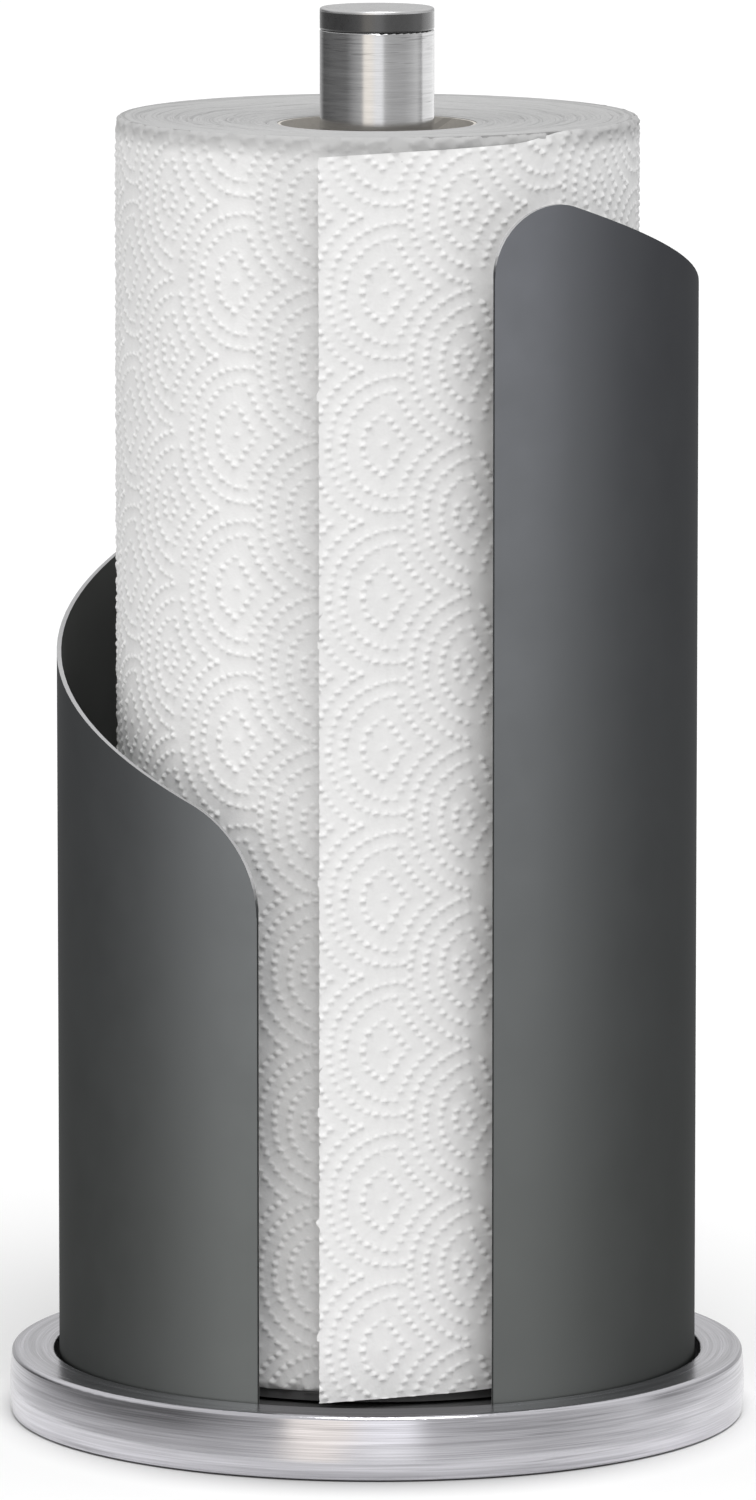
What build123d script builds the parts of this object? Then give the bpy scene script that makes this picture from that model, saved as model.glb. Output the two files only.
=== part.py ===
"""Paper towel holder: weighted round base, wrap-round sheet guard, centre pole and a loaded towel roll.

Millimetres. +Z is up and the origin is on the table at the middle of the base, so the pole stands on
the Z axis. The guard's open slot faces -Y. Angles round the pole are counted from the middle of the
slot (-Y), positive towards +X. Every piece of the holder is its own solid in its own STEP file.
"""

import os
from math import atan2, cos, degrees, hypot, pi, radians, sin, sqrt

from build123d import *

# --- Driving dimensions -------------------------------------------------------------------------
TOTAL_H = 318.1          # table to the top of the pole's cap
BASE_R = 83.2            # widest radius of the steel base
RING_TOP_Z = 14.7        # flat top of the steel base ring
RING_INNER_R = 73.1      # inner edge of that flat top
FOOT_PROUD = 0.3         # how far the rubber foot stands below the base
GUARD_R = 72.0           # outer radius of the sheet guard
GUARD_T = 1.0            # its sheet thickness
POLE_R = 12.8            # outer radius of the pole
POLE_WALL = 1.2
ROLL_R = 58.3            # full paper roll
ROLL_H = 279.0           # height of a standard towel roll
ROLL_Z = 14.95           # underside of the roll
CORE_R = 21.6            # inside radius of the roll's cardboard core
CORE_WALL = 0.7

# --- Guard outline ------------------------------------------------------------------------------
SLOT_RIGHT = 20.9        # angle of the tall edge, right of the slot's middle
SLOT_LEFT = 21.5         # angle of the short edge, left of the slot's middle
TALL_Z = 285.4           # height at the tall edge before its corner is rounded
SHORT_Z = 140.5          # the same at the short edge
TOP_BOW = 3.7            # how far the sloping top edge bows up from a straight line, unrolled
TALL_CORNER_R = 15.5
SHORT_CORNER_R = 26.0
GUARD_FEET = (45, 135, 225, 315)   # angles of the folded feet

# --- Base stack, upwards from the table ---------------------------------------------------------
FIT = 0.05               # assembly gap between pieces that touch
RUN = 0.07               # radial running clearance
COVER_Z = (FOOT_PROUD, 2.8)
WEIGHT_Z = (2.9, 8.2)
FOOT_TOP_Z = WEIGHT_Z[1] + GUARD_T
DECK_Z = (FOOT_TOP_Z + FIT, 11.9)
SHELL_T = 1.2            # wall of the steel base shell
SHELL_IN_R = BASE_R - SHELL_T - FIT
GUARD_SCREW_R = 63.0     # radius of the ring of guard screws
COVER_SCREW_R = 45.0     # radius of the ring of cover screws
SEAT_R = 57.0            # the turning plate reaches almost to the edge of the roll
WASHER_T = 0.8
SEAT_Z = (DECK_Z[1] + WASHER_T + FIT, ROLL_Z - FIT)
HUB_TOP_Z = 27.0
CAP_DISC_T = 0.8
COLLAR_H = 4.2
POLE_TOP_Z = TOTAL_H - CAP_DISC_T - COLLAR_H

# --- Loose end of the towel ---------------------------------------------------------------------
LEAVE_ANGLE = 13.0       # where the last sheet leaves the roll, right of the slot's middle
LOOSE_LENGTH = 26.6      # from there to its free edge
SHEET_T = 0.3
SHEET_DROP = 1.4         # how far the free edge hangs below the roll


def polar(radius, angle, z=0.0):
    """Point at a radius and an angle counted from -Y towards +X."""
    return (radius * sin(radians(angle)), -radius * cos(radians(angle)), z)


def rod(radius, z0, z1, at=(0, 0)):
    """Upright solid cylinder from z0 to z1."""
    return Pos(at[0], at[1], z0) * Cylinder(radius, z1 - z0, align=(Align.CENTER, Align.CENTER, Align.MIN))


def ring(inner, outer, z0, z1):
    """Upright tube from z0 to z1."""
    return rod(outer, z0, z1) - rod(inner, z0 - 1, z1 + 1)


def revolved(outline):
    """Solid of revolution about Z from a closed outline of edges in (radius, z)."""
    return revolve(Plane.XZ * make_face(outline), Axis.Z)


def spread(radius, angles):
    """(x, y) places at one radius."""
    return [polar(radius, angle)[:2] for angle in angles]


GUARD_SCREWS_AT = spread(GUARD_SCREW_R, GUARD_FEET)
COVER_SCREWS_AT = spread(COVER_SCREW_R, (0, 90, 180, 270))


# --- Base ---------------------------------------------------------------------------------------
def foot_ring():
    """Rubber ring let into the underside of the base."""
    body = ring(72.2, 78.8, 0, FOOT_PROUD + 0.95)
    return fillet(body.edges().group_by(Axis.Z)[0], 0.3)


def bottom_cover():
    """Plastic plate that closes the base, with a channel for the foot and countersunk screw holes."""
    body = rod(SHELL_IN_R - 0.4, *COVER_Z)
    body -= ring(72.1, 78.9, COVER_Z[0] - 1, COVER_Z[0] + 1.0)
    for x, y in COVER_SCREWS_AT:
        body -= rod(1.6, 0, 4, (x, y))
        body -= Pos(x, y, COVER_Z[0]) * countersink(2.85)
    return body


def countersink(radius):
    """Cone of a countersunk head, wide end down, standing on z = 0."""
    height = radius - 1.5
    return Pos(0, 0, height / 2) * Cone(radius, 1.5, height)


def cover_screws():
    """Four countersunk screws from the bottom cover up into the deck's bosses."""
    screws = []
    for x, y in COVER_SCREWS_AT:
        screw = Pos(x, y, COVER_Z[0] + 0.05) * countersink(2.75)
        screw += rod(1.5, 1.5, 10.6, (x, y))
        screw -= Pos(x, y, 0) * Box(2.4, 0.6, 2.8)
        screw -= Pos(x, y, 0) * Box(0.6, 2.4, 2.8)
        screws.append(screw)
    return Compound(children=screws)


def base_weight():
    """Cast-iron disc: ballast, and the seat for the pole and the guard's feet."""
    body = rod(SHELL_IN_R, *WEIGHT_Z)
    body -= rod(4.3, 0, 10)
    body -= rod(7.6, 0, WEIGHT_Z[0] + 3.2)
    for place in COVER_SCREWS_AT:
        body -= rod(4.4, 0, 10, place)
    for place in GUARD_SCREWS_AT:
        body -= rod(2.0, 3.6, 10, place)
    return body


def base_shell():
    """Spun steel skin: bulged side, flat ring on top, lip turned down inside it."""
    low, high = FOOT_PROUD + 0.05, RING_TOP_Z
    bulge_r, bulge_z = 60.0, 6.8
    sheet, knee, lip_r = 0.9, 1.6, 0.7
    lip_in, lip_out = RING_INNER_R, RING_INNER_R + 0.8
    foot = WEIGHT_Z[1] + FIT

    def side(z):
        return (BASE_R - bulge_r + sqrt(bulge_r**2 - (z - bulge_z) ** 2), z)

    outline = [
        Line((SHELL_IN_R, low), side(low)),
        ThreePointArc(side(low), side(bulge_z), side(high)),
        Line(side(high), (lip_in + lip_r, high)),
        RadiusArc((lip_in + lip_r, high), (lip_in, high - lip_r), -lip_r),
        Line((lip_in, high - lip_r), (lip_in, foot)),
        Line((lip_in, foot), (lip_out, foot)),
        Line((lip_out, foot), (lip_out, high - sheet)),
        Line((lip_out, high - sheet), (SHELL_IN_R - knee, high - sheet)),
        Line((SHELL_IN_R - knee, high - sheet), (SHELL_IN_R, high - sheet - knee)),
        Line((SHELL_IN_R, high - sheet - knee), (SHELL_IN_R, low)),
    ]
    body = revolved(outline)
    body = fillet(body.edges().group_by(Axis.Z)[-1].sort_by(SortBy.RADIUS)[-1], 1.1)
    return fillet(body.edges().group_by(Axis.Z)[0].sort_by(SortBy.RADIUS)[-1], 0.4)


def deck():
    """Moulded plastic floor inside the guard, with screw bosses below and a hole for the pole."""
    body = rod(GUARD_R - GUARD_T - 0.1, *DECK_Z)
    body = fillet(body.edges().group_by(Axis.Z)[-1], 0.5)
    for place in COVER_SCREWS_AT:
        body += rod(4.0, 4.2, DECK_Z[0] + 0.5, place)
        body -= rod(1.5, 3.0, 11.0, place)
    for place in GUARD_SCREWS_AT:
        body -= rod(4.0, DECK_Z[0] - 1, DECK_Z[0] + 1.6, place)
    return body - rod(POLE_R + 0.1, 0, 20)


# --- Guard --------------------------------------------------------------------------------------
GUARD_MID_R = GUARD_R - GUARD_T / 2
GUARD_SWEEP = 360 - SLOT_LEFT - SLOT_RIGHT


def top_edge(radius):
    """The sloping top edge as a curve at one radius, run past both ends so that it cuts cleanly."""
    points = []
    for i in range(-1, 18):
        t = i / 16
        z = TALL_Z + (SHORT_Z - TALL_Z) * t + 4 * TOP_BOW * t * (1 - t)
        points.append(Vector(*polar(radius, SLOT_RIGHT + GUARD_SWEEP * t, z)))
    return Edge.make_spline(points)


def corner_cut(angle, side, z, radius):
    """Tool that rounds a top corner: side is +1 where the sheet runs to growing angles, else -1."""
    fall = (SHORT_Z - TALL_Z + side * 4 * TOP_BOW) / (GUARD_MID_R * radians(GUARD_SWEEP))
    centre_s = side * radius
    centre_z = z + fall * centre_s - radius * hypot(1, fall)
    start = pi if side > 0 else 0
    stop = atan2(1, -fall)
    middle = 0.65 * centre_s
    points = []
    for i in range(13):
        turn = start + (stop - start) * i / 12
        s = centre_s + radius * cos(turn)
        points.append((GUARD_MID_R * sin((s - middle) / GUARD_MID_R), centre_z + radius * sin(turn)))
    first, last = points[0], points[-1]
    beyond = first[0] - 3 * side
    above = max(z, last[1]) + 6
    waste = Polyline(last, (last[0], above), (beyond, above), (beyond, first[1]), first)
    tool = extrude(Plane.XZ.offset(GUARD_R - 8) * make_face([Spline(*points), waste]), 16)
    return Rot(0, 0, angle + degrees(middle / GUARD_MID_R)) * tool


def guard():
    """Curved sheet with one tall and one short side, and feet folded inwards under the deck."""
    wall = ring(GUARD_R - GUARD_T, GUARD_R, WEIGHT_Z[1] + FIT, 300)
    reach = 2 * GUARD_R
    right, left = polar(reach, SLOT_RIGHT)[:2], polar(reach, -SLOT_LEFT)[:2]
    wall -= extrude(make_face(Polyline((0, 0), right, left, close=True)), 320)
    above = Face.make_surface_from_curves(top_edge(GUARD_MID_R - 6), top_edge(GUARD_MID_R + 6))
    wall -= Solid.extrude(above, Vector(0, 0, 200))
    wall -= corner_cut(SLOT_RIGHT, 1, TALL_Z, TALL_CORNER_R)
    wall -= corner_cut(-SLOT_LEFT, -1, SHORT_Z, SHORT_CORNER_R)
    strip = Pos(0, -GUARD_SCREW_R - 1, WEIGHT_Z[1] + FIT + GUARD_T / 2) * Box(18, 16, GUARD_T)
    for angle in GUARD_FEET:
        wall += (Rot(0, 0, angle) * strip) & rod(GUARD_MID_R, 0, 20)
    for place in GUARD_SCREWS_AT:
        wall -= rod(2.2, 5, 12, place)
    return wall


def guard_screws():
    """Four button-head screws that hold the guard's feet down on the weight."""
    screws = []
    seat_z = FOOT_TOP_Z + FIT
    for x, y in GUARD_SCREWS_AT:
        screw = rod(3.5, seat_z, seat_z + 1.5, (x, y))
        screw = fillet(screw.edges().group_by(Axis.Z)[-1], 0.8)
        screw += rod(2.0, 4.0, seat_z + 0.5, (x, y))
        screw -= Pos(x, y, seat_z + 0.6) * extrude(RegularPolygon(1.25, 6, major_radius=False), 2)
        screws.append(screw)
    return Compound(children=screws)


# --- Pole and cap -------------------------------------------------------------------------------
def pole_tube():
    """Steel tube standing on the weight, with a groove for the seat's retaining ring."""
    body = ring(POLE_R - POLE_WALL, POLE_R, WEIGHT_Z[1] + FIT, POLE_TOP_Z)
    body = fillet(body.edges().group_by(Axis.Z)[-1].sort_by(SortBy.RADIUS)[-1], 0.3)
    return body - ring(POLE_R - 0.5, POLE_R + 1, HUB_TOP_Z + 0.15, HUB_TOP_Z + 1.35)


def pole_foot_plug():
    """Threaded steel plug pressed into the foot of the tube."""
    body = rod(POLE_R - POLE_WALL, WEIGHT_Z[1] + FIT, WEIGHT_Z[1] + 12)
    body = chamfer(body.edges().group_by(Axis.Z)[-1], 0.8)
    return body - rod(4.0, 0, 30)


def pole_washer():
    """Washer under the head of the pole's bolt."""
    return ring(4.15, 7.3, WEIGHT_Z[0] + 2.4, WEIGHT_Z[0] + 3.2)


def pole_bolt():
    """Low-head bolt from below, through the weight, into the plug."""
    head_z = WEIGHT_Z[0] + 2.4
    body = rod(6.5, head_z - 2.2, head_z) + rod(3.98, head_z - 1, 18)
    return body - Pos(0, 0, head_z - 2.2 - 1) * extrude(RegularPolygon(2.5, 6, major_radius=False), 2.4)


def cap_collar():
    """Black plastic collar on the pole, with a hollow spigot inside the tube."""
    body = rod(POLE_R, POLE_TOP_Z, POLE_TOP_Z + COLLAR_H)
    body = fillet(body.edges().group_by(Axis.Z)[0], 0.5)
    body += rod(POLE_R - POLE_WALL - 0.02, POLE_TOP_Z - 14, POLE_TOP_Z + 1)
    return body - rod(POLE_R - POLE_WALL - 2, POLE_TOP_Z - 20, POLE_TOP_Z + 1.2)


def cap_disc():
    """Steel disc on top of the collar, with a rounded edge."""
    body = rod(POLE_R, TOTAL_H - CAP_DISC_T, TOTAL_H)
    return fillet(body.edges().group_by(Axis.Z)[-1], 0.6)


# --- Turntable ----------------------------------------------------------------------------------
def seat_washer():
    """Slippery washer between the deck and the turning seat."""
    return ring(POLE_R + 0.3, 24.0, DECK_Z[1], DECK_Z[1] + WASHER_T)


def roll_seat():
    """Turning plastic seat: flange under the roll, spigot that centres its core, hub on the pole."""
    bore, hub_r = POLE_R + RUN, 15.6
    spigot_r, spigot_top = CORE_R - 0.6, SEAT_Z[1] + 11
    body = rod(SEAT_R, *SEAT_Z)
    body = fillet(body.edges().group_by(Axis.Z)[-1], 0.6)
    spigot = rod(spigot_r, SEAT_Z[0] + 1, spigot_top)
    body += chamfer(spigot.edges().group_by(Axis.Z)[-1], 2.0)
    body -= ring(hub_r, spigot_r - 2.0, SEAT_Z[0] - 1, spigot_top - 2.2)
    body += ring(bore, hub_r, SEAT_Z[0], HUB_TOP_Z)
    return body - rod(bore, 0, 40)


def seat_retaining_ring():
    """Open spring ring in the pole's groove, which keeps the seat down when the roll is lifted."""
    body = ring(POLE_R - 0.45, POLE_R + 2.0, HUB_TOP_Z + 0.2, HUB_TOP_Z + 1.3)
    gap = Pos(0, POLE_R, HUB_TOP_Z) * Box(4, 8, 8)
    return body - gap


# --- Towel roll ---------------------------------------------------------------------------------
def core_tube():
    """Cardboard core."""
    return ring(CORE_R, CORE_R + CORE_WALL, ROLL_Z, ROLL_Z + ROLL_H - 1.9)


def paper_roll():
    """Wound paper with a softly rounded rim and a top that dips towards the core."""
    inner, low, high = CORE_R + CORE_WALL, ROLL_Z, ROLL_Z + ROLL_H
    rim = 1.2
    outline = [
        Line((inner, low), (ROLL_R - 1.0, low)),
        RadiusArc((ROLL_R - 1.0, low), (ROLL_R, low + 1.0), -1.0),
        Line((ROLL_R, low + 1.0), (ROLL_R, high - rim)),
        RadiusArc((ROLL_R, high - rim), (ROLL_R - rim, high), -rim),
        Line((ROLL_R - rim, high), (inner, high - 1.7)),
        Line((inner, high - 1.7), (inner, low)),
    ]
    return revolved(outline)


def loose_sheet():
    """Last towel, leaving the roll along a tangent and ending in a free upright edge."""
    top = ROLL_Z + ROLL_H - 2.0
    flap = Polyline(
        (0, ROLL_Z - 0.2),
        (-LOOSE_LENGTH, ROLL_Z - SHEET_DROP),
        (-LOOSE_LENGTH, top - SHEET_DROP),
        (0, top),
        close=True,
    )
    plane = Plane(origin=(0, -ROLL_R, 0), x_dir=(1, 0, 0), z_dir=(0, -1, 0))
    return Rot(0, 0, LEAVE_ANGLE) * extrude(plane * make_face(flap), SHEET_T)


PIECES = {
    "foot_ring": foot_ring,
    "bottom_cover": bottom_cover,
    "cover_screws": cover_screws,
    "base_weight": base_weight,
    "base_shell": base_shell,
    "deck": deck,
    "guard": guard,
    "guard_screws": guard_screws,
    "pole_tube": pole_tube,
    "pole_foot_plug": pole_foot_plug,
    "pole_washer": pole_washer,
    "pole_bolt": pole_bolt,
    "cap_collar": cap_collar,
    "cap_disc": cap_disc,
    "seat_washer": seat_washer,
    "roll_seat": roll_seat,
    "seat_retaining_ring": seat_retaining_ring,
    "core_tube": core_tube,
    "paper_roll": paper_roll,
    "loose_sheet": loose_sheet,
}

os.makedirs("parts", exist_ok=True)
for node, make in PIECES.items():
    export_step(make(), f"parts/{node}.step")
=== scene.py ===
"""Looks of the paper towel holder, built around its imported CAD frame. Metres, +Z up, front faces -Y.

The steel, guard, plastic and fasteners are the CAD nodes with procedural materials. The towel roll is
built here: three embossed towels wound on a body of layered paper, the first with its end hanging free.
"""

import math

import bmesh
import bpy
import numpy as np
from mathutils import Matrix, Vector, geometry


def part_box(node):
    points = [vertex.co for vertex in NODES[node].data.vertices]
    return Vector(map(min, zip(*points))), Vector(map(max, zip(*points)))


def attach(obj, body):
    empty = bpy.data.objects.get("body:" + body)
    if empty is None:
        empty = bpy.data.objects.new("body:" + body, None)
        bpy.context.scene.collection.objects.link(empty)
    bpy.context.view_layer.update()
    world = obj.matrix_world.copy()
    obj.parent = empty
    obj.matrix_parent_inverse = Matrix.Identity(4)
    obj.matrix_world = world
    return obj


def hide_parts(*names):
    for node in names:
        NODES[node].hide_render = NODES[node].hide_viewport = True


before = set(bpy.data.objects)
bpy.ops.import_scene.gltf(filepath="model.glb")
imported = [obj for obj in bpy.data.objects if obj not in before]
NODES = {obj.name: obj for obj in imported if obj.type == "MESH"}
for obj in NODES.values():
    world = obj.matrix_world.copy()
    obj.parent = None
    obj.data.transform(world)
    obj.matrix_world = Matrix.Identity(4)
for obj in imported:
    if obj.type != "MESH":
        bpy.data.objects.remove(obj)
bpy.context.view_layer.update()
MM = 0.001
RNG = np.random.default_rng(7)

# --- Sizes taken from the frame ---------------------------------------------------------------------
roll_low, roll_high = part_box("paper_roll")
core_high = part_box("core_tube")[1]
guard_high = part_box("guard")[1]
ROLL_R = roll_high.x
ROLL_Z0 = roll_low.z
ROLL_Z1 = roll_high.z
CORE_R = core_high.x
GUARD_R = guard_high.x


# --- Node helpers -----------------------------------------------------------------------------------
class Nodes:
    """Small helper that adds nodes to one tree and links them by value."""

    def __init__(self, tree):
        self.tree = tree
        tree.nodes.clear()

    def add(self, kind, **settings):
        node = self.tree.nodes.new(kind)
        for name, value in settings.items():
            setattr(node, name, value)
        return node

    def put(self, socket, value):
        """Links a socket to a value's output, or sets it where the value is a plain number or colour."""
        if isinstance(value, bpy.types.NodeSocket):
            self.tree.links.new(value, socket)
        elif isinstance(value, (tuple, list)) and len(value) == 3 and socket.type == "RGBA":
            socket.default_value = (*value, 1)
        else:
            socket.default_value = value

    def math(self, operation, a, b=0.0):
        node = self.add("ShaderNodeMath", operation=operation)
        self.put(node.inputs[0], a)
        self.put(node.inputs[1], b)
        return node.outputs[0]

    def mix(self, factor, a, b):
        node = self.add("ShaderNodeMix", data_type="RGBA")
        self.put(node.inputs["Factor"], factor)
        self.put(node.inputs[6], a)
        self.put(node.inputs[7], b)
        return node.outputs[2]

    def ramp(self, value, stops):
        """Colour ramp: stops are (position, grey or colour)."""
        node = self.add("ShaderNodeValToRGB")
        elements = node.color_ramp.elements
        while len(elements) < len(stops):
            elements.new(0.5)
        for element, (place, colour) in zip(elements, stops):
            element.position = place
            element.color = (*colour, 1) if isinstance(colour, tuple) else (colour, colour, colour, 1)
        self.put(node.inputs[0], value)
        return node.outputs[0]

    def remap(self, value, low, high, out_low=0.0, out_high=1.0):
        node = self.add("ShaderNodeMapRange")
        self.put(node.inputs["Value"], value)
        for name, number in (
            ("From Min", low),
            ("From Max", high),
            ("To Min", out_low),
            ("To Max", out_high),
        ):
            self.put(node.inputs[name], number)
        return node.outputs[0]

    def noise(self, vector, scale, detail=2.0, roughness=0.5):
        node = self.add("ShaderNodeTexNoise")
        self.put(node.inputs["Vector"], vector)
        for name, number in (
            ("Scale", scale),
            ("Detail", detail),
            ("Roughness", roughness),
        ):
            self.put(node.inputs[name], number)
        return node.outputs["Fac"]

    def bump(self, height, distance, strength):
        node = self.add("ShaderNodeBump")
        self.put(node.inputs["Height"], height)
        self.put(node.inputs["Distance"], distance)
        self.put(node.inputs["Strength"], strength)
        return node.outputs[0]

    def facing_up(self):
        """How much the surface faces up: 1 where it lies flat, 0 where it stands upright."""
        split = self.add("ShaderNodeSeparateXYZ")
        self.put(split.inputs[0], self.add("ShaderNodeNewGeometry").outputs["True Normal"])
        return split.outputs[2]

    def place(self):
        """Object coordinates and what follows from them: x, y, z and the distance from the pole."""
        where = self.add("ShaderNodeTexCoord").outputs["Object"]
        split = self.add("ShaderNodeSeparateXYZ")
        self.put(split.inputs[0], where)
        x, y, z = split.outputs
        squares = self.math("ADD", self.math("MULTIPLY", x, x), self.math("MULTIPLY", y, y))
        radius = self.math("SQRT", squares)
        return where, x, y, z, radius

    def round_grain(self, along, across):
        """Coordinates whose noise makes fine streaks round the pole: slow along them, fast across."""
        _, x, y, z, radius = self.place()
        safe = self.math("MAXIMUM", radius, 0.0005)
        join = self.add("ShaderNodeCombineXYZ")
        self.put(join.inputs[0], self.math("MULTIPLY", self.math("DIVIDE", x, safe), along))
        self.put(join.inputs[1], self.math("MULTIPLY", self.math("DIVIDE", y, safe), along))
        self.put(join.inputs[2], self.math("MULTIPLY", self.math("SUBTRACT", z, radius), across))
        return join.outputs[0]


def material(name, build):
    """New material; build(nodes) returns the principled shader's input values."""
    mat = bpy.data.materials.new(name)
    mat.use_nodes = True
    nodes = Nodes(mat.node_tree)
    shader = nodes.add("ShaderNodeBsdfPrincipled")
    out = nodes.add("ShaderNodeOutputMaterial")
    mat.node_tree.links.new(shader.outputs[0], out.inputs[0])
    for socket, value in build(nodes).items():
        nodes.put(shader.inputs[socket], value)
    return mat


# --- Materials --------------------------------------------------------------------------------------
def brushed_steel(tint, streak, roughness, length, flat_top=0.0):
    """Stainless steel brushed round the pole: fine streaks in colour, roughness and height.

    A larger length makes shorter streaks. flat_top is added to the roughness where the steel lies flat.
    """

    def build(n):
        fine = n.noise(n.round_grain(length, 4200), 1.0, 3.0, 0.65)
        broad = n.noise(n.round_grain(length * 0.8, 1100), 1.0, 2.0, 0.6)
        lines = n.noise(n.round_grain(length * 1.4, 2300), 1.0, 1.0, 0.5)
        patches = n.noise(n.round_grain(length * 0.7, 120), 1.0, 2.0, 0.5)
        scratch = n.ramp(lines, [(0.60, 0.0), (0.70, 1.0)])
        scratch = n.math("MULTIPLY", scratch, n.remap(patches, 0.42, 0.62))
        grain = n.math("ADD", n.math("MULTIPLY", fine, 0.5), n.math("MULTIPLY", broad, 0.5))
        dark = tuple(c * (1 - streak) for c in tint)
        light = tuple(min(1.0, c * (1 + 0.5 * streak)) for c in tint)
        colour = n.mix(n.remap(grain, 0.36, 0.64), dark, light)
        colour = n.mix(n.math("MULTIPLY", scratch, 0.50), colour, tuple(c * 0.40 for c in tint))
        level = n.math("MULTIPLY", n.math("GREATER_THAN", n.facing_up(), 0.95), flat_top)
        uneven = n.remap(grain, 0.3, 0.7, roughness * 0.8, roughness * 1.25)
        return {
            "Base Color": colour,
            "Metallic": 1.0,
            "Roughness": n.math("ADD", uneven, level),
            "Normal": n.bump(grain, 0.00002, 0.35),
        }

    return build


def guard_paint(n):
    """Satin anthracite paint with a fine powder texture, with painted light on the inner face and a painted
    highlight where the top edge faces up.
    """
    where, _, _, z, radius = n.place()
    height = n.remap(z, 0.05, 0.28)
    colour = n.mix(height, (0.0385, 0.0405, 0.0395), (0.0388, 0.0402, 0.0445))
    mottle = n.noise(where, 60.0, 3.0, 0.6)
    colour = n.mix(n.remap(mottle, 0.3, 0.7, 0.0, 0.12), colour, (0.048, 0.050, 0.051))
    # painted light: the inner face is coloured much lighter to stand in for light that barely reaches inside
    # the guard
    inner = n.math("LESS_THAN", radius, GUARD_R - 0.9 * MM)
    colour = n.mix(inner, colour, (0.20, 0.205, 0.20))
    # painted highlight: faces that point up are coloured light grey to stand in for light falling on the top
    # edge
    edge = n.remap(n.facing_up(), 0.10, 0.35)
    powder = n.noise(where, 2600.0, 2.0, 0.6)
    return {
        "Base Color": n.mix(edge, colour, (0.42, 0.42, 0.425)),
        "Metallic": 0.85,
        "Specular Tint": (0.45, 0.45, 0.45),
        "Roughness": n.remap(mottle, 0.3, 0.7, 0.55, 0.60),
        "Normal": n.bump(powder, 0.00002, 0.30),
    }


def moulded(colour, roughness, grain=0.35):
    """Moulded plastic or rubber with a fine spark-eroded grain."""

    def build(n):
        where = n.place()[0]
        cells = n.noise(where, 1800.0, 3.0, 0.65)
        cloud = n.noise(where, 45.0, 2.0, 0.5)
        return {
            "Base Color": n.mix(n.remap(cloud, 0.3, 0.7), colour, tuple(c * 1.25 for c in colour)),
            "Roughness": n.remap(cells, 0.3, 0.7, roughness * 0.9, roughness * 1.1),
            "Normal": n.bump(cells, 0.00004, grain),
        }

    return build


def glossy_black(n):
    """Lacquered black collar: a clear coat over a faint grain."""
    where = n.place()[0]
    grain = n.noise(where, 700.0, 3.0, 0.6)
    return {
        "Base Color": n.mix(grain, (0.016, 0.016, 0.017), (0.026, 0.026, 0.027)),
        "Roughness": n.remap(grain, 0.3, 0.7, 0.24, 0.32),
        "Specular IOR Level": 1.0,
        "Coat Weight": 0.6,
        "Coat Roughness": 0.18,
        "Normal": n.bump(grain, 0.00002, 0.2),
    }


def cast_iron(n):
    """Black-painted casting with a pitted skin."""
    where = n.place()[0]
    pits = n.noise(where, 420.0, 5.0, 0.7)
    return {
        "Base Color": n.mix(n.remap(pits, 0.35, 0.7), (0.02, 0.02, 0.021), (0.045, 0.044, 0.043)),
        "Metallic": 0.3,
        "Roughness": 0.62,
        "Normal": n.bump(pits, 0.0002, 0.7),
    }


def zinc(n):
    """Bright zinc plate with a faint crystalline mottle and turning marks."""
    where = n.place()[0]
    spangle = n.noise(where, 300.0, 4.0, 0.7)
    return {
        "Base Color": n.mix(spangle, (0.56, 0.57, 0.58), (0.70, 0.70, 0.68)),
        "Metallic": 1.0,
        "Roughness": n.remap(spangle, 0.3, 0.7, 0.24, 0.38),
        "Normal": n.bump(n.noise(n.round_grain(2.0, 3000), 1.0), 0.00002, 0.3),
    }


def cardboard(n):
    """Grey-brown core board with fibres and the faint helix where its strips butt."""
    where, x, y, z, _ = n.place()
    angle = n.math("ARCTAN2", y, x)
    turn = n.math("ADD", n.math("DIVIDE", angle, 2 * math.pi), n.math("DIVIDE", z, 0.075))
    seam = n.math("LESS_THAN", n.math("FRACT", turn), 0.02)
    fibre = n.noise(where, 900.0, 4.0, 0.7)
    colour = n.mix(fibre, (0.56, 0.53, 0.49), (0.70, 0.67, 0.62))
    return {
        "Base Color": n.mix(n.math("MULTIPLY", seam, 0.5), colour, (0.38, 0.36, 0.33)),
        "Roughness": 0.9,
        "Normal": n.bump(fibre, 0.0001, 0.4),
    }


PAINTED_RIM_SHADE = (5.2 * MM, 1.0 * MM)     # painted shade: the rim turns grey between these depths below the roll's top
SHADED = (6.5 * MM, 2.4 * MM)      # and a painted shadow above the loose towel's edge between these


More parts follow.
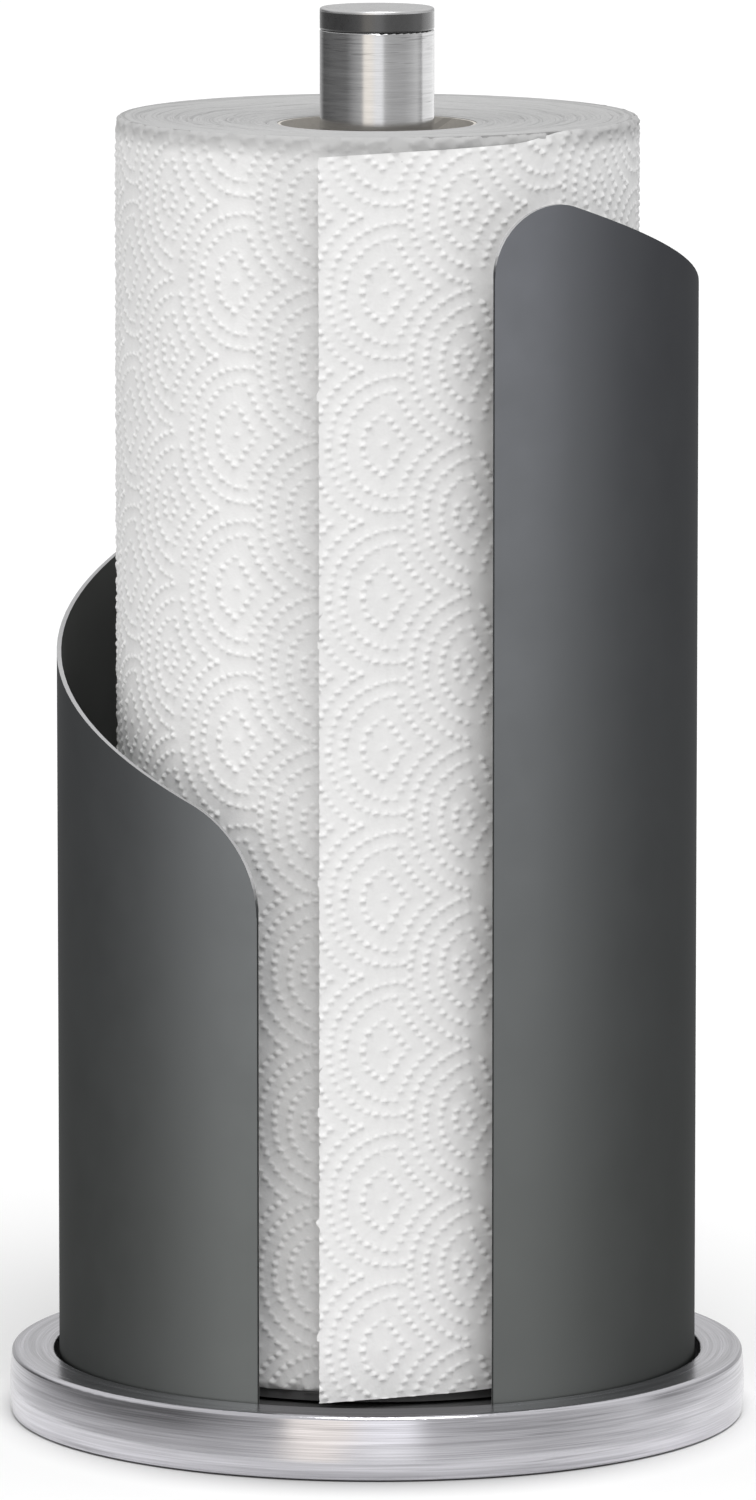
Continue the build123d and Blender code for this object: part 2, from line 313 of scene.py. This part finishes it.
def tissue(rim_from, shade_from, painted_shade_beside_end):
    """Soft white tissue with fibres, with painted shade turning it grey towards the trimmed rim.

    The painted rim shade shows from the bearing rim_from on, and from shade_from on a painted shadow of the
    loose towel greys more of it.
    painted_shade_beside_end is how much painted shadow darkens the wound paper beside the loose towel's free
    edge.
    """

    def build(n):
        where, x, y, z, _ = n.place()
        fibre = n.noise(where, 1500.0, 4.0, 0.7)
        cloud = n.noise(where, 120.0, 3.0, 0.6)
        colour = n.mix(n.remap(cloud, 0.3, 0.7), (0.83, 0.83, 0.83), (0.87, 0.87, 0.87))
        bearing = n.math("ARCTAN2", x, n.math("MULTIPLY", y, -1.0))
        # painted shade: grey towards the rim, standing in for the rim turning away from the light
        painted_rim_shade = n.remap(z, ROLL_Z1 - PAINTED_RIM_SHADE[0], ROLL_Z1 - PAINTED_RIM_SHADE[1])
        painted_rim_shade = n.math("MULTIPLY", n.remap(bearing, rim_from - 0.2, rim_from + 0.2), painted_rim_shade)
        # painted shadow: grey above the loose towel's edge, where the loose towel shades the roll
        shaded = n.remap(z, ROLL_Z1 - SHADED[0], ROLL_Z1 - SHADED[1])
        shaded = n.math("MULTIPLY", n.remap(bearing, shade_from - 0.08, shade_from + 0.04), shaded)
        # painted shadow: the wound paper is darkened beside the loose towel's free edge
        beside = n.math("MULTIPLY", n.remap(bearing, -0.54, -0.34), n.remap(bearing, 0.5, 0.3))
        colour = n.mix(n.math("MULTIPLY", beside, painted_shade_beside_end), colour, (0, 0, 0))
        return {
            "Base Color": n.mix(n.math("MAXIMUM", painted_rim_shade, shaded), colour, (0.45, 0.45, 0.45)),
            "Roughness": 0.92,
            "Specular IOR Level": 0.25,
            "Sheen Weight": 0.08,
            "Normal": n.bump(fibre, 0.00012, 0.5),
        }

    return build


def wound_edges(n):
    """Cut edges of the wound paper: grey, partly their own tone and partly painted shade for the weaker light
    from above, with darker lines between the turns.
    """
    where, _, _, _, radius = n.place()
    drift = n.noise(where, 28.0, 2.0, 0.5)
    shifted = n.math("ADD", radius, n.math("MULTIPLY", drift, 0.004))
    join = n.add("ShaderNodeCombineXYZ")
    n.put(join.inputs[0], shifted)
    lines = n.noise(join.outputs[0], 2600.0, 2.0, 0.7)
    broad = n.noise(join.outputs[0], 500.0, 2.0, 0.6)
    dark = n.ramp(n.math("MULTIPLY", lines, broad), [(0.12, 1.0), (0.24, 0.0)])
    fibre = n.noise(where, 1800.0, 3.0, 0.7)
    # the grey is partly the cut edges' own tone and partly painted shade for the top's weaker light
    base = n.mix(fibre, (0.41, 0.41, 0.41), (0.48, 0.48, 0.48))
    return {
        "Base Color": n.mix(n.math("MULTIPLY", dark, 0.60), base, (0.20, 0.20, 0.20)),
        "Roughness": 0.95,
        "Specular IOR Level": 0.2,
        "Normal": n.bump(n.math("ADD", lines, n.math("MULTIPLY", fibre, 0.5)), 0.0002, 0.5),
    }


MATERIALS = {
    "base_steel": material(
        "base_steel", brushed_steel((0.685, 0.677, 0.715), 0.30, 0.15, 2.2, flat_top=0.10)
    ),
    "pole_steel": material("pole_steel", brushed_steel((0.64, 0.64, 0.645), 0.12, 0.16, 1.3)),
    "cap_steel": material("cap_steel", brushed_steel((0.70, 0.70, 0.705), 0.05, 0.30, 2.0)),
    "guard": material("anthracite_paint", guard_paint),
    "black": material("black_abs", moulded((0.085, 0.085, 0.086), 0.30)),
    "collar": material("collar_abs", glossy_black),
    "rubber": material("black_rubber", moulded((0.016, 0.016, 0.016), 0.8, 0.5)),
    "acetal": material("white_acetal", moulded((0.72, 0.72, 0.70), 0.4)),
    "iron": material("painted_iron", cast_iron),
    "zinc": material("zinc_plate", zinc),
    "cardboard": material("core_board", cardboard),
    "loose_tissue": material("loose_tissue", tissue(0.72, 4.0, 0.0)),
    "tissue": material("wound_tissue", tissue(-4.0, -0.22, 0.13)),
    "edges": material("wound_edges", wound_edges),
}

CAD_FINISH = {
    "foot_ring": "rubber",
    "bottom_cover": "black",
    "cover_screws": "zinc",
    "base_weight": "iron",
    "base_shell": "base_steel",
    "deck": "black",
    "guard": "guard",
    "guard_screws": "zinc",
    "pole_tube": "pole_steel",
    "pole_foot_plug": "zinc",
    "pole_washer": "zinc",
    "pole_bolt": "zinc",
    "cap_collar": "collar",
    "cap_disc": "cap_steel",
    "seat_washer": "acetal",
    "roll_seat": "black",
    "seat_retaining_ring": "zinc",
    "core_tube": "cardboard",
}
for node, finish in CAD_FINISH.items():
    part = NODES[node]
    part.data.materials.clear()
    part.data.materials.append(MATERIALS[finish])


# --- Embossing: one repeat of the pattern, in millimetres --------------------------------------------
# Two columns of round scales, wide and slim, half a repeat apart in height. Each scale shows its own rings
# on its left, and on its right the outer rings of the two scales beside it, which meet in arrow heads.
PERIOD = np.array((38.3, 33.9))
HALF = PERIOD[1] / 2
TO_SLIM = 19.9                     # from a wide scale's centre to the slim ones at its right
TO_WIDE = PERIOD[0] - TO_SLIM
MEET = 31.6                        # rings of two neighbours end where their radii add up to this
SCALES = (                         # centre, distance to the next column, own rings, rings reaching left
    ((0.0, 0.0), TO_SLIM, TO_WIDE, (7.25, 11.65, 15.0), (18.6, 22.4, 26.0)),
    ((TO_SLIM, HALF), TO_WIDE, TO_SLIM, (6.0, 9.5, 13.0, 16.5), (19.9, 23.9, 27.8)),
)
DOT_STEP = 2.15
DOT_HALF = (1.16, 0.82)            # half width and half height of a dot at its foot
DOT_RISE = 0.40
DOT_RINGS = ((0.50, 0.78, 5), (1.0, 0.0, 8))  # reach, share of the rise, points
DOT_GAP = 1.35                     # no other dot and no plain point is closer to a dot's centre
PLAIN_GRID = 13                    # points each way that keep the plain paper between the dots even


def own_dots(radius, to_right, shift):
    """Dots of a ring round its own centre, where the scales at the right leave it free."""
    count = round(2 * math.pi * radius / DOT_STEP)
    for i in range(count):
        turn = math.pi + 2 * math.pi * (i + shift) / count
        x, y = radius * math.cos(turn), radius * math.sin(turn)
        beside = min(math.hypot(x - to_right, y - HALF), math.hypot(x - to_right, y + HALF))
        if radius + beside > MEET and x < 4 and abs(y) < HALF - 0.6:
            yield x, y


def reaching_dots(radius, to_left):
    """Dots of an outer ring, from its arrow head in the scales at the left towards their own rings."""
    step = DOT_STEP / radius
    first = math.asin(HALF / radius)
    for side in (1, -1):
        turn = first if side > 0 else first - step
        while turn > 0:
            x, y = -radius * math.cos(turn), side * radius * math.sin(turn)
            if radius + math.hypot(x + to_left, y - side * HALF) > MEET:
                break
            yield x, y
            turn -= step


def dots():
    """Centres of the dots in one repeat, slightly uneven."""
    places = []
    for (cx, cy), to_right, to_left, own, reaching in SCALES:
        found = []
        for i, radius in enumerate(own):
            found.extend(own_dots(radius, to_right, 0.5 * (i % 2)))
        for radius in reaching:
            found.extend(reaching_dots(radius, to_left))
        for x, y in found:
            gaps = [np.abs(np.array(other) - (cx + x, cy + y)) % PERIOD for other in places]
            if all(np.hypot(*np.minimum(gap, PERIOD - gap)) > DOT_GAP for gap in gaps):
                places.append((cx + x, cy + y))
    return (np.array(places) + RNG.normal(0, 0.07, (len(places), 2))) % PERIOD


def repeat_points():
    """Points (x, y, height) of one repeat: rings of points up each dot, and a loose grid between the dots."""
    centres = dots()
    rows = []
    for x, y in centres:
        rise = DOT_RISE * RNG.uniform(0.6, 1.2)
        rows.append((x, y, rise))
        for reach, share, count in DOT_RINGS:
            for i in range(count):
                turn = 2 * math.pi * (i + 0.5 * reach) / count
                across = DOT_HALF[0] * reach * math.cos(turn)
                up = DOT_HALF[1] * reach * math.sin(turn)
                rows.append((x + across, y + up, rise * share))
    for i in range(PLAIN_GRID):
        for j in range(PLAIN_GRID):
            spot = np.array((i + 0.5, j + 0.5 * (i % 2))) * PERIOD / PLAIN_GRID
            gap = np.abs(centres - spot)
            gap = np.minimum(gap, PERIOD - gap)
            if np.hypot(*gap.T).min() > DOT_GAP:
                rows.append((*spot, 0.0))
    cell = np.array(rows)
    cell[:, :2] += RNG.normal(0, 0.01, (len(cell), 2))
    cell[:, :2] %= PERIOD
    return cell


def repeat_triangles(cell):
    """Triangles of one repeat as (point, columns over, rows up): copies of the repeat join exactly."""
    margin = 6.0
    points, labels = [], []
    for i in (0, -1, 1):
        for j in (0, -1, 1):
            moved = cell[:, :2] + (i, j) * PERIOD
            near = np.all((moved > -margin) & (moved < PERIOD + margin), axis=1)
            points.extend(Vector(p) for p in moved[near])
            labels.extend((k, i, j) for k in np.flatnonzero(near))
    made = geometry.delaunay_2d_cdt(points, [], [], 0, 1e-6)
    triangles = []
    for face in made[2]:
        middle = sum((made[0][v] for v in face), Vector((0, 0))) / 3
        if 0 <= middle.x < PERIOD[0] and 0 <= middle.y < PERIOD[1]:
            triangles.append([labels[made[3][v][0]] for v in face])
    return triangles


CELL = repeat_points()
CELL_COUNT = len(CELL)
CELL_TRIANGLES = repeat_triangles(CELL)


def embossed_sheet(width, height, origin):
    """Flat embossed sheet as a bmesh: x from 0 to width, y from 0 to height, z is the relief."""
    size = np.array((width, height))
    first = np.floor(-np.array(origin) / PERIOD).astype(int) - 1
    columns, rows = np.ceil((size - origin) / PERIOD).astype(int) + 1 - first
    grid = [(i, j) for i in range(-1, columns + 1) for j in range(-1, rows + 1)]
    shifts = (first + np.array(grid)) * PERIOD + origin
    points = np.concatenate([CELL + (*shift, 0) for shift in shifts])
    spot, over, up = np.array(CELL_TRIANGLES).transpose(2, 0, 1)
    faces = []
    for i in range(columns):
        for j in range(rows):
            copy = (i + 1 + over) * (rows + 2) + j + 1 + up
            faces.append(copy * CELL_COUNT + spot)
    faces = np.concatenate(faces)
    corners = points[faces][:, :, :2]
    near = np.all((corners.max(1) > -1) & (corners.min(1) < size + 1), axis=1)
    used, faces = np.unique(faces[near], return_inverse=True)
    mesh = bpy.data.meshes.new("flat")
    mesh.from_pydata(points[used].tolist(), [], faces.reshape(-1, 3).tolist())
    bm = bmesh.new()
    bm.from_mesh(mesh)
    bpy.data.meshes.remove(mesh)
    for edge, outward in (
        ((0, 0, 0), (-1, 0, 0)),
        ((width, 0, 0), (1, 0, 0)),
        ((0, 0, 0), (0, -1, 0)),
        ((0, height, 0), (0, 1, 0)),
    ):
        everything = bm.verts[:] + bm.edges[:] + bm.faces[:]
        bmesh.ops.bisect_plane(
            bm, geom=everything, dist=1e-4, plane_co=edge, plane_no=outward, clear_outer=True
        )
    return bm


# --- Towels on the roll ------------------------------------------------------------------------------
# The paper stays out of mirror reflections, so that the pole is bright down to the roll's top.
R_MM = ROLL_R / MM
Z0_MM = ROLL_Z0 / MM
TOWEL_H = (ROLL_Z1 - ROLL_Z0) / MM
TOWEL_W = 140.0                    # length of one towel between its perforations
LEAVE = math.radians(13.0)         # where the first towel leaves the roll, right of the front
LOOSE = 26.6                       # length that hangs free
LAYER = 0.30                       # thickness of one turn
RIM = 1.2                          # rounding of the wound paper's top edge
FOOT_RIM = 1.0                     # rounding of its lower edge
RIM_WEAR = 0.7                     # share of the relief that the trimmed rim has lost


def smooth(t):
    t = np.clip(t, 0, 1)
    return t * t * (3 - 2 * t)


def wound_profile(y, radius):
    """Radius and height of a wound towel at a height y along its profile, rounded in at both rims."""
    top = np.clip((y - (TOWEL_H - RIM)) / RIM, 0, 1)
    low = np.clip((FOOT_RIM - y) / FOOT_RIM, 0, 1)
    inward = RIM * (1 - np.sqrt(1 - 0.98 * top**2)) + FOOT_RIM * (1 - np.sqrt(1 - 0.98 * low**2))
    return radius - inward, Z0_MM + y


def waver(x, y):
    """Slow unevenness of wound paper, in millimetres."""
    return 0.05 * (np.sin(x / 23.0 + y / 61.0) + np.sin(y / 31.0 - x / 47.0 + 1.3) + np.sin(x / 13.0 + 0.7))


def crease(x, edge):
    """Dent along a perforation at x = edge, in millimetres."""
    return 0.22 * np.clip(1 - np.abs(x - edge) / 0.9, 0, 1)


def worn(relief, y):
    """Relief of wound paper, pressed down towards the trimmed rim."""
    return relief * (1 - RIM_WEAR * smooth((y - TOWEL_H + 5.0) / 3.5))


def on_roll(angle, radius, z):
    """Points at angles from the front, positive towards +X, in metres."""
    return np.column_stack((radius * np.sin(angle), -radius * np.cos(angle), z)) * MM


def make_towel(name, bm, bend, paper="tissue"):
    """Maps a flat embossed sheet onto the roll with bend(x, y, relief) and returns the object."""
    placed = bend(*np.array([v.co for v in bm.verts]).T)
    for vert, spot in zip(bm.verts, placed):
        vert.co = spot
    mesh = bpy.data.meshes.new(name)
    bm.to_mesh(mesh)
    bm.free()
    mesh.polygons.foreach_set("use_smooth", [True] * len(mesh.polygons))
    mesh.materials.append(MATERIALS[paper])
    towel = bpy.data.objects.new(name, mesh)
    bpy.context.scene.collection.objects.link(towel)
    towel.modifiers.new("even_normals", "WEIGHTED_NORMAL")
    towel.visible_glossy = False
    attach(towel, "roll")
    return towel


def bend_first(x, y, relief):
    """The first towel: a flat free end, then wound on the roll. x is counted from its free edge."""
    share = y / TOWEL_H
    low_drop = 1.35 * (1 - np.clip(x / 39.9, 0, 1))
    top_drop = (3.95 - 2.2 * np.clip(x / 52.0, 0, 1)) * (1 - smooth((x - 45.0) / 17.0))
    radius, z = wound_profile(y, R_MM)
    radius = R_MM + (radius - R_MM) * smooth((x - 46.0) / 14.0)
    z = z - low_drop * (1 - share) - top_drop * share
    lift = radius + relief + waver(x, y) - crease(x, TOWEL_W)
    out = np.clip(LOOSE - x, 0, None)
    angle = LEAVE + np.clip(x - LOOSE, 0, None) / R_MM
    curl = 0.5 * smooth(out / LOOSE) * np.sin(share * math.pi)
    across = lift * np.sin(angle) - out * math.cos(LEAVE) + curl * math.sin(LEAVE)
    along = -lift * np.cos(angle) - out * math.sin(LEAVE) - curl * math.cos(LEAVE)
    return np.column_stack((across, along, z)) * MM


def ragged_edge(bm):
    """Torn perforation along the free edge: a fine ripple and a few short tabs, made in the flat sheet."""
    tabs = [(15.0, 0.5), (41.0, 0.7), (66.0, 0.35), (118.0, 0.4), (171.0, 0.3), (226.0, 0.45)]
    for vert in bm.verts:
        if vert.co.x < 0.01:
            height = vert.co.y
            vert.co.x += 0.10 * math.sin(height * 2.9) * math.sin(height * 1.3 + 1)
            for place, reach in tabs:
                if abs(height - place) < 0.9:
                    vert.co.x -= reach


def bend_second(x, y, relief):
    """The second towel, wound all the way."""
    radius, z = wound_profile(y, R_MM)
    dents = crease(x, 0) + crease(x, TOWEL_W)
    return on_roll(second_start + x / R_MM, radius + worn(relief, y) + waver(x, y) - dents, z)


def bend_third(x, y, relief):
    """The third towel, which passes under the first: pressed flat there, except at its top edge."""
    angle = third_start + x / R_MM
    under = smooth((angle - LEAVE + 0.14) / 0.14)
    covered = under * (1 - smooth((y - TOWEL_H + 4.5) / 3.0))
    radius, z = wound_profile(y, R_MM - LAYER * under - 0.5 * covered)
    relief = worn(relief, y) * (1 - 0.8 * covered)
    return on_roll(angle, radius + relief + waver(x, y) * (1 - covered) - crease(x, 0), z)


FIRST_ORIGIN = (17.1, 214.6)       # centre of a wide scale on the first towel, from its edge and foot
first = embossed_sheet(TOWEL_W, TOWEL_H, FIRST_ORIGIN)
ragged_edge(first)
towel_first = make_towel("towel_first", first, bend_first, "loose_tissue")
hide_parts("loose_sheet")

second_start = LEAVE + (TOWEL_W - LOOSE) / R_MM
second = embossed_sheet(TOWEL_W, TOWEL_H, (FIRST_ORIGIN[0] - TOWEL_W, FIRST_ORIGIN[1]))
towel_second = make_towel("towel_second", second, bend_second)

third_start = second_start + TOWEL_W / R_MM - 2 * math.pi
THIRD_W = 152.6                    # runs on under the first towel, far enough to show above its top edge
ROLL_CENTRE = (-30.3, 261.6)       # centre of a wide scale on the roll: arc from the front, height
third = embossed_sheet(THIRD_W, TOWEL_H, (ROLL_CENTRE[0] - third_start * R_MM, ROLL_CENTRE[1] - Z0_MM))
towel_third = make_towel("towel_third", third, bend_third)


# --- Body of the roll: the layered top, rim, underside and the surface under the towels ---------------
def roll_body():
    """Closed ring of wound paper. Its top and underside show the edges of the turns."""
    steps = 384                    # points round each ring
    pitch = 0.6                    # two turns of paper, the finest relief on the faces
    dish = 1.7                     # the top sinks this much towards the core
    count = 400                    # random heights, one for each pitch
    inner = CORE_R / MM + 0.02
    outer = R_MM - RIM + 0.25
    top_radii = np.linspace(inner, outer, 150)
    low_radii = np.linspace(outer, inner, 60)
    angle = np.linspace(0, 2 * math.pi, steps, endpoint=False)
    layer_height = RNG.normal(0, 1, count)
    rings = []

    def face(radius, z, depth):
        """Heights of one ring of points, with the edges of the turns standing up or down by depth."""
        drift = 0.9 * np.sin(2 * angle + 0.6)
        drift = drift + 0.6 * np.sin(3 * angle + radius / 7) + 0.35 * np.sin(7 * angle)
        layer = (radius - drift * 0.5 + angle / (2 * math.pi) * pitch) / pitch
        low = np.floor(layer).astype(int)
        part = layer - low
        height = layer_height[low % count] * (1 - part) + layer_height[(low + 1) % count] * part
        groove = np.abs(part - 0.5) * 2
        away = np.clip(min(radius - inner, outer - radius) / 1.5, 0, 1)
        return z + depth * away * (height - 0.7 * groove)

    for radius in low_radii:
        rings.append((radius, face(radius, Z0_MM + 0.25, -0.05)))
    for radius in top_radii:
        z = Z0_MM + TOWEL_H - 0.03 - dish * (outer - radius) / (outer - inner)
        rings.append((radius, face(radius, z, 0.20)))
    half = len(low_radii)
    side = [(R_MM - RIM, Z0_MM + RIM), (R_MM - RIM, Z0_MM + TOWEL_H - RIM)]
    order = rings[:half][::-1] + [(r, np.full(steps, z)) for r, z in side] + rings[half:][::-1]
    points = [np.column_stack((r * np.cos(angle), r * np.sin(angle), z)) for r, z in order]
    points = np.concatenate(points) * MM
    faces = []
    for k in range(len(order)):
        after = (k + 1) % len(order)
        for i in range(steps):
            j = (i + 1) % steps
            faces.append((k * steps + i, k * steps + j, after * steps + j, after * steps + i))
    mesh = bpy.data.meshes.new("wound_paper")
    mesh.from_pydata(points.tolist(), [], faces)
    mesh.polygons.foreach_set("use_smooth", [True] * len(mesh.polygons))
    mesh.set_sharp_from_angle(angle=math.radians(50))
    mesh.materials.append(MATERIALS["edges"])
    body = bpy.data.objects.new("wound_paper", mesh)
    bpy.context.scene.collection.objects.link(body)
    body.visible_glossy = False
    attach(body, "roll")
    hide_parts("paper_roll")
    return body


wound_body = roll_body()


# --- Stage and light --------------------------------------------------------------------------------
FLOOR_NEAR_R = 0.098               # this much floor is mirrored in the steel; the rest only takes shadows


def floor_ring(name, inner, outer, mat):
    """Flat ring of floor; inner 0 makes a disc."""
    bm = bmesh.new()
    count = 96
    angles = [2 * math.pi * i / count for i in range(count)]
    rim = [(math.cos(a), math.sin(a)) for a in angles]
    far = [bm.verts.new((outer * x, outer * y, 0)) for x, y in rim]
    if inner:
        near = [bm.verts.new((inner * x, inner * y, 0)) for x, y in rim]
        for i in range(count):
            j = (i + 1) % count
            bm.faces.new((near[i], far[i], far[j], near[j]))
    else:
        bm.faces.new(far)
    mesh = bpy.data.meshes.new(name)
    bm.to_mesh(mesh)
    bm.free()
    mesh.materials.append(mat)
    floor = bpy.data.objects.new(name, mesh)
    bpy.context.scene.collection.objects.link(floor)
    return floor


def floor_paint(n):
    """Pale matt floor, with a painted contact shadow darkening it in front of the base."""
    where, x, y, _, _ = n.place()
    cloud = n.noise(where, 3.0, 2.0, 0.5)
    pale = n.mix(cloud, (0.92, 0.92, 0.92), (0.94, 0.94, 0.94))
    # painted contact shadow: the floor's colour darkens towards the base, most in front
    ahead = n.math("POWER", n.math("ADD", y, 8.0 * MM), 2.0)
    aside = n.math("MULTIPLY", n.math("POWER", x, 2.0), 1.13)
    reach = n.math("SQRT", n.math("ADD", ahead, aside))
    near = n.math("POWER", n.remap(reach, 76.0 * MM, 95.0 * MM, 1.0, 0.0), 1.5)
    return {
        "Base Color": n.mix(near, pale, (0.50, 0.50, 0.50)),
        "Roughness": 1.0,
        "Specular IOR Level": 0.0,
    }


floor_mat = material("floor", floor_paint)
floor_ring("floor_near", 0, FLOOR_NEAR_R, floor_mat)
far_floor = floor_ring("floor_far", FLOOR_NEAR_R, 30.0, floor_mat)
far_floor.visible_glossy = False
far_floor.visible_diffuse = False
far_floor.visible_shadow = False

WARM = (1.26, 1.19, 1.10)
COOL = (1.20, 1.20, 1.22)
# Brightness of the studio's panels by bearing from the front, at eye level and low towards the floor.
LEVEL_PANELS = [
    (-180, 0.58),
    (-156, 0.42),
    (-136, 0.10),
    (-64, 0.14),
    (-46, 0.37),
    (-30, 0.50),
    (-26, WARM),
    (-10, WARM),
    (-3, COOL),
    (10, COOL),
    (16, 0.58),
    (30, 0.50),
    (58, 0.50),
    (72, 0.60),
    (88, 0.75),
    (100, 0.45),
    (110, 0.42),
    (150, 0.50),
    (165, 0.58),
    (180, 0.58),
]
LOW_PANELS = [
    (-180, 0.85),
    (-145, 0.76),
    (-130, 0.66),
    (-96, 0.56),
    (-50, 0.54),
    (-34, 0.64),
    (-23, WARM),
    (-15, WARM),
    (-6, 0.98),
    (3, 1.10),
    (11, 0.98),
    (17, 0.70),
    (50, 0.64),
    (78, 0.68),
    (100, 0.80),
    (120, 0.98),
    (145, 0.94),
    (180, 0.85),
]
DOME = 0.74
UNDER = 0.44


def studio():
    """Soft studio as the world: panels round the object, an even dome above and less light from below."""
    world = bpy.data.worlds.new("studio")
    bpy.context.scene.world = world
    world.use_nodes = True
    n = Nodes(world.node_tree)
    split = n.add("ShaderNodeSeparateXYZ")
    n.put(split.inputs[0], n.add("ShaderNodeTexCoord").outputs["Generated"])
    x, y, z = split.outputs
    bearing = n.math("ARCTAN2", x, n.math("MULTIPLY", y, -1.0))
    place = n.remap(bearing, -math.pi, math.pi)
    level = n.ramp(place, [((degrees + 180) / 360, light) for degrees, light in LEVEL_PANELS])
    low = n.ramp(place, [((degrees + 180) / 360, light) for degrees, light in LOW_PANELS])
    colour = n.mix(n.remap(z, -0.10, -0.16), level, low)
    colour = n.mix(n.remap(z, -0.25, -0.50), colour, (UNDER, UNDER, UNDER))
    colour = n.mix(n.remap(z, 0.16, 0.40), colour, (DOME, DOME, DOME))
    background = n.add("ShaderNodeBackground")
    n.put(background.inputs["Color"], colour)
    out = n.add("ShaderNodeOutputWorld")
    world.node_tree.links.new(background.outputs[0], out.inputs[0])


studio()


def place_light(light, bearing, elevation, distance):
    """Puts a light at a bearing from the front towards +X and aims it at the middle of the holder."""
    bearing, elevation = math.radians(bearing), math.radians(elevation)
    flat = math.cos(elevation)
    offset = Vector((math.sin(bearing) * flat, -math.cos(bearing) * flat, math.sin(elevation)))
    light.location = Vector((0, 0, 0.16)) + distance * offset
    light.rotation_euler = (-offset).to_track_quat("-Z", "Y").to_euler()
    light.visible_camera = False
    bpy.context.scene.collection.objects.link(light)


def link_light(light, only):
    """Lets a light reach only the given objects."""
    receivers = bpy.data.collections.new(light.name + "_receivers")
    for thing in only:
        receivers.objects.link(thing)
    light.light_linking.receiver_collection = receivers


def far_light(name, bearing, elevation, spread, strength):
    """Distant soft light that reaches everything evenly."""
    data = bpy.data.lights.new(name, "SUN")
    data.angle = math.radians(spread)
    data.energy = strength
    light = bpy.data.objects.new(name, data)
    place_light(light, bearing, elevation, 2.0)
    return light


def panel_light(name, bearing, elevation, distance, size, power):
    """Soft rectangular panel."""
    data = bpy.data.lights.new(name, "AREA")
    data.shape = "RECTANGLE"
    data.size, data.size_y = size
    data.energy = power
    light = bpy.data.objects.new(name, data)
    place_light(light, bearing, elevation, distance)
    return light


far_light("key", 9, 58, 36, 1.66)
left_fill = far_light("left_fill", -72, 24, 60, 0.62)
link_light(left_fill, [towel_first, towel_second, towel_third, wound_body])
left_front = panel_light("left_front", -44, 8, 1.8, (0.9, 0.9), 71.0)
link_light(left_front, [NODES["guard"]])
right_front = panel_light("right_front", 44, 8, 1.8, (1.1, 0.9), 58.0)
link_light(right_front, [NODES["guard"]])
right_strip = panel_light("right_strip", 134, 0, 1.0, (1.2, 1.0), 2.3)
link_light(right_strip, [NODES["pole_tube"], NODES["cap_collar"]])

# A small panel just in front of the loose towel stands in for the paper's reflection in the base's ring.
ring_glow = panel_light("ring_glow", 0, 0, 0.064, (0.056, 0.030), 0.0009)
ring_glow.location = (-0.002, -0.064, 0.030)
ring_glow.rotation_euler = (math.radians(-90), 0, 0)
link_light(ring_glow, [NODES["base_shell"]])

# --- Camera -----------------------------------------------------------------------------------------
camera_data = bpy.data.cameras.new("camera")
camera_data.sensor_width = 36.0
camera_data.lens = 268.69
camera_data.clip_start = 0.1
camera = bpy.data.objects.new("camera", camera_data)
camera.location = (0.00022, -2.4946, 0.50856)
camera.rotation_euler = (math.radians(90 - 8.164), 0, 0)
bpy.context.scene.collection.objects.link(camera)
bpy.context.scene.camera = camera
bpy.context.scene.view_settings.view_transform = "Standard"
